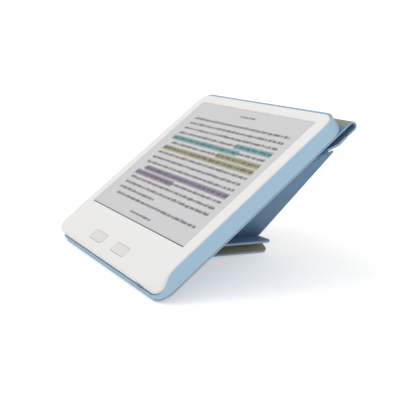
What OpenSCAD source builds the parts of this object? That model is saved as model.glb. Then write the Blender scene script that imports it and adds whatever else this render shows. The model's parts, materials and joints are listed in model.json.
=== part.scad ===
// E-reader in a folding cover, propped on its stand.
// X runs across the reader, Y goes back from the front edge, Z is up from the table.

/* [Reader] */
// Width of the reader, across the lines of text
reader_w = 161; // [155:1:200]
// Height of the reader's face, from the chin edge to the far edge
reader_h = 144.6; // [141:0.1:180]
// Thickness of the reader
reader_t = 8.3; // [7.5:0.1:12]
// Corner radius of the reader's outline
corner_r = 9; // [5:0.5:14]
// Rounding of the front and rear edges
edge_r = 1.8; // [0.5:0.1:2.2]
// Wall of the bezel and of the rear cover
wall = 1.5; // [1:0.1:2.5]
// Thickness of the face plate around the screen
face_t = 1; // [0.8:0.1:1.4]
// Depth of the bezel's side wall, down to the seam
bezel_d = 5.2; // [4.6:0.1:5.6]

/* [Screen] */
// Width of the visible screen
screen_w = 142.2; // [110:0.1:150]
// Height of the visible screen
screen_h = 107; // [90:0.1:120]
// Width of the chin below the screen
chin = 29.6; // [22:0.1:36]
// Overlap of the screen's layers behind the face plate
screen_lap = 2; // [1:0.1:3]

/* [Buttons] */
// Length of a page button
button_w = 20; // [12:0.5:24]
// Width of a page button
button_h = 7; // [4:0.5:9]
// Distance from the middle of the chin to a page button's middle
button_x = 18; // [14:0.5:30]
// Distance from the chin edge to the page buttons' middle
button_y = 9.6; // [7:0.1:14]
// Height of a page button above the face
button_proud = 0.6; // [0.2:0.1:1]
// Gap around each button in its window
button_gap = 0.25; // [0.15:0.05:0.5]
// Travel of every button
button_travel = 0.4; // [0.2:0.1:0.4]
// Radius of the power button
power_r = 4; // [3:0.5:5]
// Place of the power button from the middle, across
power_x = 40; // [25:1:45]
// Place of the power button from the chin edge
power_y = 16; // [12:1:20]

/* [Port] */
// Place of the charging port from the middle, across
port_x = 58; // [54:1:62]
// Width of the charging port's shell
port_w = 9; // [8:0.1:10]
// Height of the charging port's shell
port_h = 3.2; // [2.8:0.1:3.4]
// Depth of the charging port's shell
port_d = 7.3; // [6:0.1:9]

/* [Tray] */
// Gap between the reader and the tray
tray_gap = 0.3; // [0.2:0.05:0.6]
// Wall of the tray
tray_wall = 1.2; // [1:0.1:2]
// Thickness of the felt on the tray's floor
felt_t = 0.4; // [0.3:0.1:0.8]
// Thickness of the skin on the tray's back
back_t = 1; // [0.6:0.1:1.6]
// Depth of the side walls' rim below the reader's face
rim_drop = 0.9; // [0.2:0.1:2]
// Depth of the chin wall's rim below the reader's face
chin_drop = 6.9; // [6.8:0.1:7.2]
// Radius of the hole over the power button
power_hole_r = 6; // [5.5:0.5:8]

/* [Cover] */
// Thickness of the folding panels
panel_t = 1.6; // [1.2:0.1:2]
// Thickness of the lining on each panel
lining_t = 0.5; // [0.3:0.1:0.6]
// Thickness of the flexible spine
spine_t = 1.2; // [0.8:0.1:1.6]
// Radius of the spine's hairpin, at the middle of the sheet
bend_r = 2.3; // [1.8:0.1:3]
// Gap between the reader's face and the closed cover
close_gap = 1.2; // [0.8:0.1:2]
// Length of the top strip above the diagonal folds
strip = 10.5; // [6:0.5:16]
// Height of the triangle between the diagonal folds
triangle_h = 106.5; // [100:0.5:116]
// Width of the two foot panels
foot_w = 18.5; // [14:0.5:24]
// Half of the slit between the left and the right panels
slit = 1.5; // [1.2:0.1:2]
// Least set-back of a panel's edge from a fold line
fold_gap = 1.3; // [1:0.1:2]
// Extra set-back at the tight folds, to keep the linings apart
fold_clear = 0.2; // [0.15:0.05:0.6]
// Radius of the free corners of the panels
panel_r = 4; // [2:0.5:8]

/* [Stand] */
// Height of the crease above the foot, at its back end
keel_height = 7.8; // [6.5:0.1:9.5]
// Angle between the reader's back and the cover's triangle
lean_off = 1.5; // [1:0.1:4]
// Rise of the upper foot panel
foot_rise = 2; // [0:0.5:6]

/* [Hidden] */

eps = 0.01;
big = 400;
arc_fn = 32;
round_fn = 48;
white = "whitesmoke";
blue = "steelblue";
taupe = "darkkhaki";

// layers of the reader, counted down from its face
film_t = 0.3;
guide_t = 0.5;
panel_layer_t = 0.9;
frame_t = 0.8;
film_z = -face_t;
guide_z = film_z - film_t;
epaper_z = guide_z - guide_t;
frame_z = epaper_z - panel_layer_t;
frame_low = frame_z - frame_t;
cover_floor = 1.2;
cell_low = -reader_t + cover_floor;
slack = 0.1;

// main board and what it carries
board_t = 0.8;
boss_h = 1;
boss_r = 2;
board_z = frame_low - boss_h;
board_low = board_z - board_t;
can_h = 1.3;
board_x0 = 8;
board_x1 = reader_w / 2 - wall - 3;
board_y0 = 4;
board_y1 = 58;
screw_r = 0.6;
screw_head_r = 1.3;
screw_head_h = 0.7;
screw_inset = 3.2;
cell_w = 64;
cell_l = 78;
cell_t = min(3, frame_low - cell_low - 2 * slack);
cell_x = -30;
cell_y = 24;

// the fold of the display's cable, behind the chin
cable_x = 30;
cable_y = 23;

// page buttons
switch_w = 4;
switch_t = 0.8;
flange = 1;
flange_t = 0.7;
button_pcb_t = 0.6;
pcb_lap = 3;
pcb_w = 2 * button_x + button_w + 4 * flange;
pcb_h = button_h + 4 * flange;
stem_low = frame_low + switch_t + button_travel + slack;

// port
port_z = frame_low - 0.05 - port_h / 2;
port_wall = 0.4;

// tray, in the reader's own coordinates
tray_w = reader_w + 2 * (tray_gap + tray_wall);
tray_h = reader_h + 2 * (tray_gap + tray_wall);
tray_r = corner_r + tray_gap + tray_wall;
felt_z = -reader_t - 0.2;
floor_z = felt_z - felt_t;
back_z = floor_z - tray_wall;
skin_low = back_z - back_t;
tray_y0 = -tray_gap - tray_wall;
tray_y1 = tray_y0 + tray_h;
rim_run = 15;
magnet_r = 2.5;
magnet_t = 0.6;

// spine, as points [y, z] in the reader's own coordinates
sheet_z = back_z - back_t / 2;
hinge_y = tray_y1 + spine_t / 2 + 0.5;
bend_y = hinge_y + 2.3;
tip_y = bend_y + bend_r;
spine_len = close_gap + panel_t / 2 - sheet_z;
upper_len = spine_len - (bend_y - hinge_y) - 2 * bend_r;
flap_y = bend_y - upper_len;
flap_z = sheet_z - 2 * bend_r;
spine_gap = 0.8;
bend_span = 45;

// flap pattern, laid flat: x across, y down from the fold at the spine
flap_w = tray_w;
wing_w = flap_w / 2 - slit;
wing_d = norm([wing_w, triangle_h]);
fold_y = strip + triangle_h;
diagonal_fold = acos(-pow(wing_w / triangle_h, 2));
wing_slope = acos(wing_w / triangle_h);

// lean of the reader that brings the back end of the foot's crease to its height
steep = wing_slope - lean_off;
reach_y = flap_y - tray_y0 - fold_y * cos(lean_off) + wing_w * cos(steep);
reach_z = flap_z - skin_low - fold_y * sin(lean_off) - wing_w * sin(steep);
tilt = asin(keel_height / norm([reach_y, reach_z])) - atan2(reach_z, reach_y);

// heights over the table
lowest = tray_y0 * sin(tilt) + skin_low * cos(tilt);
nose = min(0, tray_y0 * cos(tilt) - (-chin_drop) * sin(tilt));
tail = tip_y * cos(tilt) - (sheet_z - bend_r) * sin(tilt) + spine_t / 2;
lift = -lowest;
shift = -(nose + tail) / 2;
foot_dip = asin((keel_height - panel_t / 2) / foot_w);
foot_fold_right = 180 - wing_slope + foot_rise;
foot_fold_left = foot_dip - wing_slope;

// set-backs of the panels' edges, wider where a fold turns further
function set_back(fold) = max(fold_gap, panel_t / 2 * tan(abs(fold) / 2) + fold_clear);
wing_gap = set_back(diagonal_fold);
right_gap = set_back(foot_fold_right);
left_gap = set_back(foot_fold_left);

// places the reader and its tray on the stand
module leaning() {
    translate([0, shift, lift]) rotate([tilt, 0, 0]) children();
}

// a plate with round corners, its near edge at y = 0 and its top at z = top
module slab(w, h, t, r, top, round_top = 0, round_low = 0) {
    low = top - t;
    post = concat(
        [[0, low]],
        [for (a = quarter_turns(round_low)) [r - round_low * (1 - sin(a)), low + round_low * (1 - cos(a))]],
        [for (a = quarter_turns(round_top)) [r - round_top * (1 - cos(a)), top - round_top * (1 - sin(a))]],
        [[0, top]]
    );
    hull()
        for (x = [-1, 1], y = [r, h - r])
            translate([x * (w / 2 - r), y, 0]) rotate_extrude($fn = round_fn) polygon(post);
}

function quarter_turns(radius, steps = 4) = radius > 0 ? [for (k = [0:steps]) 90 * k / steps] : [0];

module plate(w, h, t, r, top) {
    translate([0, 0, top - t]) linear_extrude(t) outline(w, h, r);
}

module outline(w, h, r) {
    translate([-w / 2 + r, 0]) square([w - 2 * r, h]);
    translate([-w / 2, r]) square([w, h - 2 * r]);
    for (x = [-1, 1], y = [r, h - r]) translate([x * (w / 2 - r), y]) circle(r, $fn = round_fn);
}

// a box between two corners
module block(low, high) {
    translate(low) cube(high - low);
}

module inset_plate(inset, t, top) {
    translate([0, inset, 0])
        plate(reader_w - 2 * inset, reader_h - 2 * inset, t, corner_r - inset, top);
}

module port_hole(gap) {
    translate([port_x, 0, port_z]) cube([port_w + 2 * gap, 4 * wall, port_h + 2 * gap], center = true);
}

// ---- reader ----

module front_bezel() {
    color(white) leaning() difference() {
        slab(reader_w, reader_h, bezel_d, corner_r, 0, edge_r, 0);
        inset_plate(wall, bezel_d, -face_t);
        translate([0, chin, 0]) plate(screen_w, screen_h, 3 * face_t, 0.8, face_t);
        for (x = [-1, 1]) translate([x * button_x, button_y, 0])
            cube([button_w + 2 * button_gap, button_h + 2 * button_gap, 4 * face_t], center = true);
        port_hole(0.1);
    }
}

module rear_cover() {
    color(white) leaning() difference() {
        slab(reader_w, reader_h, reader_t - bezel_d, corner_r, -bezel_d, 0, edge_r);
        inset_plate(wall, reader_t - bezel_d - cover_floor + eps, -bezel_d + eps);
        translate([power_x, power_y, -reader_t - 1])
            cylinder(r = power_r + button_gap, h = cover_floor + 2, $fn = round_fn);
        port_hole(0.1);
    }
}

module perimeter_seal() {
    seal_h = 1;
    seal_w = 0.7;
    color("dimgray") leaning() difference() {
        inset_plate(wall, seal_h, -bezel_d + seal_h / 2);
        inset_plate(wall + seal_w, seal_h + 2, -bezel_d + seal_h / 2 + 1);
        port_hole(0.6);
    }
}

module mid_frame() {
    flex_w = 22;
    color("silver") leaning() {
        difference() {
            inset_plate(wall + 0.1, frame_t, frame_z);
            translate([0, button_y, frame_z])
                cube([pcb_w, pcb_h, 3 * frame_t], center = true);
            translate([cable_x, cable_y, frame_z])
                cube([flex_w, 2, 3 * frame_t], center = true);
            on_bosses() cylinder(r = screw_r + 0.05, h = big, center = true, $fn = arc_fn);
        }
        on_bosses() translate([0, 0, board_z]) difference() {
            cylinder(r = boss_r, h = boss_h, $fn = arc_fn);
            translate([0, 0, -1]) cylinder(r = screw_r + 0.05, h = boss_h + 2, $fn = arc_fn);
        }
    }
}

module on_bosses() {
    for (x = [board_x0 + screw_inset, board_x1 - screw_inset])
        for (y = [board_y0 + 16, board_y1 - screw_inset])
            translate([x, y, 0]) children();
}

module screen_layer(t, top) {
    translate([0, chin - screen_lap, 0])
        plate(screen_w + 2 * screen_lap, screen_h + 2 * screen_lap, t, 1, top);
}

module epaper_panel() {
    color("gainsboro") leaning() screen_layer(panel_layer_t, epaper_z);
}

module light_guide() {
    color("lightcyan") leaning() screen_layer(guide_t, guide_z);
}

module touch_film() {
    color("lavender") leaning() screen_layer(film_t, film_z);
}

module light_strip() {
    led_count = 14;
    strip_h = 2.2;
    edge = chin - screen_lap - slack;
    color("khaki") leaning() {
        block([-screen_w / 2, edge - strip_h, guide_z - guide_t], [screen_w / 2, edge, guide_z - 0.3]);
        for (i = [0:led_count - 1]) {
            x = (i + 0.5) / led_count * (screen_w - 8) - (screen_w - 8) / 2;
            block([x - 1.2, edge - 1.2, guide_z - 0.3], [x + 1.2, edge, guide_z]);
        }
    }
}

module display_cable() {
    cable_w = 20;
    cable_t = 0.2;
    start_y = chin - screen_lap - slack;
    low = board_z + cable_t;
    color("darkorange") leaning() translate([cable_x - cable_w / 2, 0, 0]) {
        block([0, cable_y - cable_t, frame_z + 0.2], [cable_w, start_y, frame_z + 0.2 + cable_t]);
        block([0, cable_y - cable_t, low], [cable_w, cable_y, frame_z + 0.2]);
        block([0, cable_y - cable_t, board_z], [cable_w, cable_y + 4, low]);
    }
}

module battery() {
    color("dimgray") leaning() translate([cell_x - cell_w / 2, cell_y, frame_low - slack - cell_t]) {
        difference() {
            cube([cell_w, cell_l, cell_t]);
            translate([-1, cell_l - 3, -1]) cube([cell_w + 2, 4, cell_t / 3 + 1]);
        }
    }
}

module main_board() {
    color("darkgreen") leaning() difference() {
        block([board_x0, board_y0, board_low], [board_x1, board_y1, board_z]);
        block([port_x - port_w / 2 - 0.3, 0, board_low - 1], [port_x + port_w / 2 + 0.3, port_d + 0.6, board_z + 1]);
        on_bosses() cylinder(r = screw_r + 0.2, h = big, center = true, $fn = arc_fn);
    }
}

module shield_cans() {
    color("lightgray") leaning() {
        block([board_x0 + 8, 34, board_low - can_h], [board_x0 + 30, 52, board_low]);
        block([board_x0 + 34, 28, board_low - can_h], [board_x0 + 50, 48, board_low]);
        block([board_x0 + 6, 8, board_low - can_h], [board_x0 + 22, 20, board_low]);
    }
}

module board_screws() {
    color("gray") leaning() on_bosses() translate([0, 0, board_low]) {
        cylinder(r = screw_r, h = board_t + boss_h, $fn = arc_fn);
        translate([0, 0, -screw_head_h]) cylinder(r = screw_head_r, h = screw_head_h, $fn = arc_fn);
    }
}

module charging_port() {
    tongue_t = 0.7;
    color("silver") leaning() translate([port_x, port_d / 2, port_z]) {
        difference() {
            cube([port_w, port_d, port_h], center = true);
            translate([0, -1, 0])
                cube([port_w - 2 * port_wall, port_d, port_h - 2 * port_wall], center = true);
        }
        translate([0, 1, 0]) cube([port_w - 2.4, port_d - 2, tongue_t], center = true);
    }
}

module button_board() {
    color("darkgreen") leaning() translate([0, button_y, frame_low - button_pcb_t / 2])
        cube([pcb_w + pcb_lap, pcb_h + pcb_lap / 2, button_pcb_t], center = true);
}

module page_switches() {
    color("gray") leaning() for (x = [-1, 1]) translate([x * button_x, button_y, frame_low + switch_t / 2])
        cube([switch_w, switch_w, switch_t], center = true);
}

module power_switch() {
    power_switch_t = 0.6;
    color("gray") leaning() translate([power_x, power_y, board_low - power_switch_t / 2])
        cube([switch_w, switch_w, power_switch_t], center = true);
}

module page_button(side) {
    top = -face_t - slack;
    color(white) leaning() translate([side * button_x, button_y, 0]) {
        block([-button_w / 2, -button_h / 2, top], [button_w / 2, button_h / 2, button_proud]);
        block(
            [-button_w / 2 - flange, -button_h / 2 - flange, top - flange_t],
            [button_w / 2 + flange, button_h / 2 + flange, top]
        );
        translate([0, 0, stem_low]) cylinder(r = 1.2, h = top - flange_t - stem_low, $fn = arc_fn);
    }
}

module page_button_left() { page_button(-1); }

module page_button_right() { page_button(1); }

module power_button() {
    flange_low = -reader_t + cover_floor + slack;
    color(white) leaning() translate([power_x, power_y, 0]) {
        translate([0, 0, -reader_t - 0.2]) cylinder(r = power_r, h = cover_floor + 0.2 + slack, $fn = round_fn);
        translate([0, 0, flange_low]) cylinder(r = power_r + flange, h = 0.5, $fn = round_fn);
    }
}

// ---- tray ----

function ease(a) = a * a * (3 - 2 * a);

// what is cut off the tray's walls: all above the rim, and most of the chin wall
module rim_cut() {
    steps = 12;
    run0 = 1.5;
    wave = [for (i = [0:steps]) [
        run0 + rim_run * i / steps,
        -chin_drop + (chin_drop - rim_drop) * ease(i / steps)
    ]];
    rotate([90, 0, 90]) linear_extrude(big, center = true)
        polygon(concat([[-20, 20], [-20, -chin_drop]], wave, [[tray_h + 20, -rim_drop], [tray_h + 20, 20]]));
}

module tray_shell() {
    color(blue) leaning() difference() {
        translate([0, tray_y0, 0]) plate(tray_w, tray_h, -back_z, tray_r, 0);
        translate([0, -tray_gap, 0])
            plate(reader_w + 2 * tray_gap, reader_h + 2 * tray_gap, -floor_z + 1, corner_r + tray_gap, 1);
        rim_cut();
        power_hole();
        on_magnets() translate([0, 0, floor_z - magnet_t - 0.05])
            cylinder(r = magnet_r + 0.05, h = magnet_t + 1, $fn = arc_fn);
    }
}

module power_hole() {
    translate([power_x, power_y, skin_low - 1]) cylinder(r = power_hole_r, h = 8, $fn = round_fn);
}

module on_magnets() {
    for (x = [-1, 1]) translate([x * (reader_w / 2 - 16), reader_h / 2, 0]) children();
}

module tray_felt() {
    margin = 3;
    color("dimgray") leaning() difference() {
        translate([0, margin, 0]) plate(reader_w - 2 * margin, reader_h - 2 * margin, felt_t, corner_r, felt_z);
        power_hole();
    }
}

module tray_magnets() {
    color("silver") leaning() on_magnets() translate([0, 0, floor_z - magnet_t])
        cylinder(r = magnet_r, h = magnet_t, $fn = arc_fn);
}

module back_skin() {
    color(blue) leaning() difference() {
        union() {
            translate([0, tray_y0, 0]) plate(tray_w, tray_h, back_t, tray_r, back_z);
            block([-tray_w / 2, tray_y1 - tray_r, skin_low], [tray_w / 2, hinge_y - spine_gap, back_z]);
        }
        power_hole();
    }
}

// ---- spine ----

// one half of the hairpin, from its straight run to the start of the bend
module hairpin_half(run) {
    translate([-flap_w / 2, 0, 0]) rotate([90, 0, 90]) linear_extrude(flap_w) {
        translate([-run, -spine_t / 2]) square([run + eps, spine_t]);
        intersection() {
            translate([0, -bend_r]) difference() {
                circle(bend_r + spine_t / 2, $fn = round_fn);
                circle(bend_r - spine_t / 2, $fn = round_fn);
            }
            translate([0, -bend_r]) polygon([[0, 0], [0, 9], [9 * tan(bend_span), 9]]);
        }
    }
}

module spine_lower() {
    color(blue) leaning() translate([0, bend_y, sheet_z]) hairpin_half(bend_y - hinge_y - spine_gap);
}

module spine_upper() {
    color(blue) leaning() translate([0, bend_y, flap_z]) mirror([0, 0, 1]) hairpin_half(upper_len - spine_gap);
}

// ---- flap ----

// from the flap's flat pattern to its place on the stand
module flap_place() {
    leaning() translate([0, flap_y, flap_z]) rotate([180 + lean_off, 0, 0]) children();
}

// turns what is drawn in the flat pattern about the right diagonal fold
module about_diagonal() {
    turn = atan2(triangle_h, -wing_w);
    translate([slit, fold_y, 0]) rotate([0, 0, turn]) rotate([-diagonal_fold, 0, 0])
        rotate([0, 0, -turn]) translate([-slit, -fold_y, 0]) children();
}

// turns what is drawn in the flat pattern about the fold above the foot
module about_keel(angle) {
    translate([0, fold_y, 0]) rotate([-angle, 0, 0]) translate([0, -fold_y, 0]) children();
}

// the outer skin and board of a panel, or its lining
module sheet(lining) {
    bottom = lining ? panel_t / 2 - lining_t : -panel_t / 2;
    thickness = lining ? lining_t : panel_t - lining_t;
    translate([0, 0, bottom]) linear_extrude(thickness) children();
}

module triangle_outline() {
    cut_y = wing_gap / (wing_w / wing_d);
    polygon([
        [-flap_w / 2, spine_gap], [flap_w / 2, spine_gap], [flap_w / 2, strip - cut_y],
        [slit, fold_y - cut_y], [-slit, fold_y - cut_y], [-flap_w / 2, strip - cut_y]
    ]);
}

// the right wing; its lower edge stands back from the keel fold by gap
module wing_outline(gap) {
    cut_y = wing_gap / (wing_w / wing_d);
    slope = triangle_h / wing_w;
    low_y = fold_y - gap;
    low_x = slit + (gap + cut_y) / slope;
    polygon([[flap_w / 2, strip + cut_y], [flap_w / 2, low_y], [low_x, low_y]]);
}

// the right foot panel, with its free outer corner rounded
module foot_outline(gap) {
    y0 = fold_y + gap;
    y1 = fold_y + foot_w;
    difference() {
        translate([slit, y0]) square([wing_w, y1 - y0]);
        translate([flap_w / 2 - panel_r, y1 - panel_r]) difference() {
            square(panel_r + 1);
            circle(panel_r, $fn = round_fn);
        }
    }
}

module flap_triangle_sheet(lining) {
    color(lining ? taupe : blue) flap_place() sheet(lining) triangle_outline();
}

module wing_sheet(side, lining) {
    gap = side > 0 ? right_gap : left_gap;
    color(lining ? taupe : blue) flap_place() mirror([side > 0 ? 0 : 1, 0, 0])
        about_diagonal() sheet(lining) wing_outline(gap);
}

module foot_sheet(side, lining) {
    gap = side > 0 ? right_gap : left_gap;
    color(lining ? taupe : blue) on_foot(side) difference() {
        sheet(lining) foot_outline(gap);
        if (!lining) magnet_discs(0.05);
    }
}

module on_foot(side) {
    angle = side > 0 ? foot_fold_right : foot_fold_left;
    flap_place() mirror([side > 0 ? 0 : 1, 0, 0]) about_diagonal() about_keel(angle) children();
}

// magnets that hold the closed cover, let into the board from the lining side
module magnet_discs(gap) {
    for (x = [0.45, 0.8]) translate([slit + wing_w * x, fold_y + foot_w * 0.6, panel_t / 2 - lining_t - magnet_t - gap])
        cylinder(r = magnet_r + gap, h = magnet_t + gap + (gap > 0 ? 1 : 0), $fn = arc_fn);
}

module foot_magnets(side) {
    color("silver") on_foot(side) magnet_discs(0);
}

module flap_triangle() { flap_triangle_sheet(false); }
module flap_triangle_lining() { flap_triangle_sheet(true); }
module wing_right() { wing_sheet(1, false); }
module wing_right_lining() { wing_sheet(1, true); }
module wing_left() { wing_sheet(-1, false); }
module wing_left_lining() { wing_sheet(-1, true); }
module foot_right() { foot_sheet(1, false); }
module foot_right_lining() { foot_sheet(1, true); }
module foot_left() { foot_sheet(-1, false); }
module foot_left_lining() { foot_sheet(-1, true); }
module foot_magnets_right() { foot_magnets(1); }
module foot_magnets_left() { foot_magnets(-1); }

front_bezel();
rear_cover();
perimeter_seal();
mid_frame();
epaper_panel();
light_guide();
touch_film();
light_strip();
display_cable();
battery();
main_board();
shield_cans();
board_screws();
charging_port();
button_board();
page_switches();
power_switch();
page_button_left();
page_button_right();
power_button();
tray_shell();
tray_felt();
tray_magnets();
back_skin();
spine_lower();
spine_upper();
flap_triangle();
flap_triangle_lining();
wing_right();
wing_right_lining();
wing_left();
wing_left_lining();
foot_right();
foot_right_lining();
foot_left();
foot_left_lining();
foot_magnets_right();
foot_magnets_left();
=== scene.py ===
"""A white e-reader in a light-blue folding cover that props it up as a stand.

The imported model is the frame: every size and place here is read from its nodes and joints, in
millimetres of one of two local frames, the leaning reader's and the cover's flat pattern.
"""

import json
import logging
import math
import random
from dataclasses import dataclass, field
from enum import Enum
from typing import Iterable, Optional, Sequence

import bmesh
import bpy
from mathutils import Matrix, Vector


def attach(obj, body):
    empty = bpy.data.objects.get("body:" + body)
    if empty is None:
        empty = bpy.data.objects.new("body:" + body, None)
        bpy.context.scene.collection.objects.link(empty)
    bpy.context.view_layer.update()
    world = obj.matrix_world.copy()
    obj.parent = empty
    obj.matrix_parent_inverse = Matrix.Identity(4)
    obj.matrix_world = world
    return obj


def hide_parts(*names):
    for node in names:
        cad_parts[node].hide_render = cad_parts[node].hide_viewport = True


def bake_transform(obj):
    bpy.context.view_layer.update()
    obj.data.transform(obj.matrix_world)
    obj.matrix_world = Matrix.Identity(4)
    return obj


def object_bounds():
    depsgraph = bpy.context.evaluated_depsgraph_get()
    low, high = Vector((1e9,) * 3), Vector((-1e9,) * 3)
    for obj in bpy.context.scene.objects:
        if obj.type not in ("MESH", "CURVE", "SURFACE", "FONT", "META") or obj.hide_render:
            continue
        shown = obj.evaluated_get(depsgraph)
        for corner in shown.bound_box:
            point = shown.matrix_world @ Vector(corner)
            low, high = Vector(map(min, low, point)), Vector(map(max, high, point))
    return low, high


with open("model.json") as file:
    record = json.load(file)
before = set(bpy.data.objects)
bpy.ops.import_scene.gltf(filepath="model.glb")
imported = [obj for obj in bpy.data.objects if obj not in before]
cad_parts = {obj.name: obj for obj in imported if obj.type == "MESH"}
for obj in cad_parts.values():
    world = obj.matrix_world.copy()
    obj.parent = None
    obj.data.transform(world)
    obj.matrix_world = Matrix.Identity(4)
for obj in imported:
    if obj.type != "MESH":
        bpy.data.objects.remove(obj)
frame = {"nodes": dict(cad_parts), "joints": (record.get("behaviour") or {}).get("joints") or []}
CAD_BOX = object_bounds()

MM = 0.001
# edges that turn further than this, in degrees, stay sharp
SHARP_TURN = 32.0
log = logging.getLogger("reader_stand")


# ---------------------------------------------------------------- frames


def joint(name: str) -> dict:
    """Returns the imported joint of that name."""
    return next(j for j in frame["joints"] if j["name"] == name)


@dataclass(frozen=True)
class Place:
    """A local frame in millimetres, and how it lies in the object's frame in metres."""

    matrix: Matrix

    def local(self, point: Sequence[float]) -> Vector:
        """Returns a point of the object's frame in this frame's millimetres."""
        return self.matrix.inverted() @ Vector(point)

    def world(self, point: Sequence[float]) -> Vector:
        """Returns a point of this frame in the object's frame."""
        return self.matrix @ Vector(point)

    def points(self, *nodes: str) -> list[Vector]:
        """Returns the corners of CAD nodes, in this frame."""
        back = self.matrix.inverted()
        return [back @ v.co for n in nodes for v in frame["nodes"][n].data.vertices]

    def box(self, *nodes: str) -> tuple[Vector, Vector]:
        """Returns the lowest and highest corner of CAD nodes, in this frame."""
        found = self.points(*nodes)
        low = Vector(min(p[i] for p in found) for i in range(3))
        high = Vector(max(p[i] for p in found) for i in range(3))
        return low, high

    def folded(self, name: str) -> "Place":
        """Returns this frame after a fold has gone from flat back to its rest.

        Args:
            name: the joint, whose upper limit is the flat cover.

        Returns:
            The frame of what lies beyond the fold.
        """
        fold = joint(name)
        pivot = Matrix.Translation(Vector(fold["pos_m"]))
        turn = Matrix.Rotation(-math.radians(fold["range_deg"][1]), 4, Vector(fold["axis"]))
        return Place(pivot @ turn @ pivot.inverted() @ self.matrix)

    def moved(self, offset: Sequence[float], turn: Optional[Matrix] = None) -> "Place":
        """Returns a frame set off from this one, and turned if a turn is given."""
        return Place(self.matrix @ Matrix.Translation(Vector(offset)) @ (turn or Matrix.Identity(4)))


def framed(origin: Vector, across: Vector, along: Vector, out: Vector) -> Place:
    """Returns the millimetre frame with that origin and those three unit axes."""
    turn = Matrix((across, along, out)).transposed().to_4x4()
    return Place(Matrix.Translation(origin) @ turn @ Matrix.Scale(MM, 4))


def reader_place() -> Place:
    """Returns the reader's frame: x across, y up the face from the chin edge, z out of the face."""
    across = Vector((1, 0, 0))
    out = -Vector(joint("reader_lift")["axis"]).normalized()
    along = out.cross(across)
    corners = [v.co for v in frame["nodes"]["front_bezel"].data.vertices]
    origin = along * min(c.dot(along) for c in corners) + out * max(c.dot(out) for c in corners)
    return framed(origin, across, along, out)


def cover_place(reader: Place) -> Place:
    """Returns the flat pattern's frame: x across, y away from the spine, z to the lining side."""
    turn = reader.matrix.to_3x3().normalized()
    across, along, out = turn.col
    lean = math.pi - math.radians(joint("cover_swing")["range_deg"][1])
    away = -along * math.cos(lean) - out * math.sin(lean)
    lining = along * math.sin(lean) - out * math.cos(lean)
    return framed(Vector(joint("flap_fold")["pos_m"]), across, away, lining)


# ---------------------------------------------------------------- shader groups


class Surface(Enum):
    """The kinds of fine relief, each a shader node group."""

    SATIN = "satin_relief"
    PEBBLE = "pebble_relief"
    FIBRE = "fibre_relief"
    BRUSHED = "brushed_relief"


def relief_group(kind: Surface) -> bpy.types.NodeTree:
    """Builds a relief's node group once.

    Args:
        kind: the relief.

    Returns:
        A group from Place and Spread to Tone, from 0 to 1, and Height.
    """
    known = bpy.data.node_groups.get(kind.value)
    if known:
        return known
    group = bpy.data.node_groups.new(kind.value, "ShaderNodeTree")
    group.interface.new_socket("Place", in_out="INPUT", socket_type="NodeSocketVector")
    spread = group.interface.new_socket("Spread", in_out="INPUT", socket_type="NodeSocketFloat")
    spread.default_value = 1.0
    group.interface.new_socket("Tone", in_out="OUTPUT", socket_type="NodeSocketFloat")
    group.interface.new_socket("Height", in_out="OUTPUT", socket_type="NodeSocketFloat")
    nodes, links = group.nodes, group.links
    given, made = nodes.new("NodeGroupInput"), nodes.new("NodeGroupOutput")

    stretch = nodes.new("ShaderNodeVectorMath")
    stretch.operation = "MULTIPLY"
    stretch.inputs[1].default_value = {
        Surface.BRUSHED: (0.03, 1.0, 1.0), Surface.FIBRE: (0.35, 1.0, 1.0)
    }.get(kind, (1.0, 1.0, 1.0))
    links.new(given.outputs["Place"], stretch.inputs[0])

    cloud = nodes.new("ShaderNodeTexNoise")
    cloud.inputs["Scale"].default_value = 0.06
    cloud.inputs["Detail"].default_value = 3.0
    links.new(given.outputs["Place"], cloud.inputs["Vector"])

    if kind is Surface.PEBBLE:
        fine = nodes.new("ShaderNodeTexVoronoi")
        fine.feature = "SMOOTH_F1"
        fine.inputs["Smoothness"].default_value = 0.7
        fine.inputs["Scale"].default_value = 1.0
        detail = fine.outputs["Distance"]
    else:
        fine = nodes.new("ShaderNodeTexNoise")
        fine.inputs["Scale"].default_value = 1.0
        fine.inputs["Detail"].default_value = 5.0 if kind is Surface.FIBRE else 2.0
        fine.inputs["Roughness"].default_value = 0.65
        detail = fine.outputs["Fac"]
    links.new(stretch.outputs[0], fine.inputs["Vector"])

    tone = nodes.new("ShaderNodeMix")
    tone.data_type = "FLOAT"
    tone.inputs["Factor"].default_value = 0.5
    links.new(cloud.outputs["Fac"], tone.inputs[2])
    links.new(detail, tone.inputs[3])
    centred = nodes.new("ShaderNodeMath")
    centred.operation = "SUBTRACT"
    centred.inputs[1].default_value = 0.5
    links.new(tone.outputs[0], centred.inputs[0])
    spread_tone = nodes.new("ShaderNodeMath")
    spread_tone.operation = "MULTIPLY_ADD"
    spread_tone.use_clamp = True
    spread_tone.inputs[2].default_value = 0.5
    links.new(centred.outputs[0], spread_tone.inputs[0])
    links.new(given.outputs["Spread"], spread_tone.inputs[1])
    links.new(spread_tone.outputs[0], made.inputs["Tone"])
    links.new(detail, made.inputs["Height"])
    return group


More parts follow.
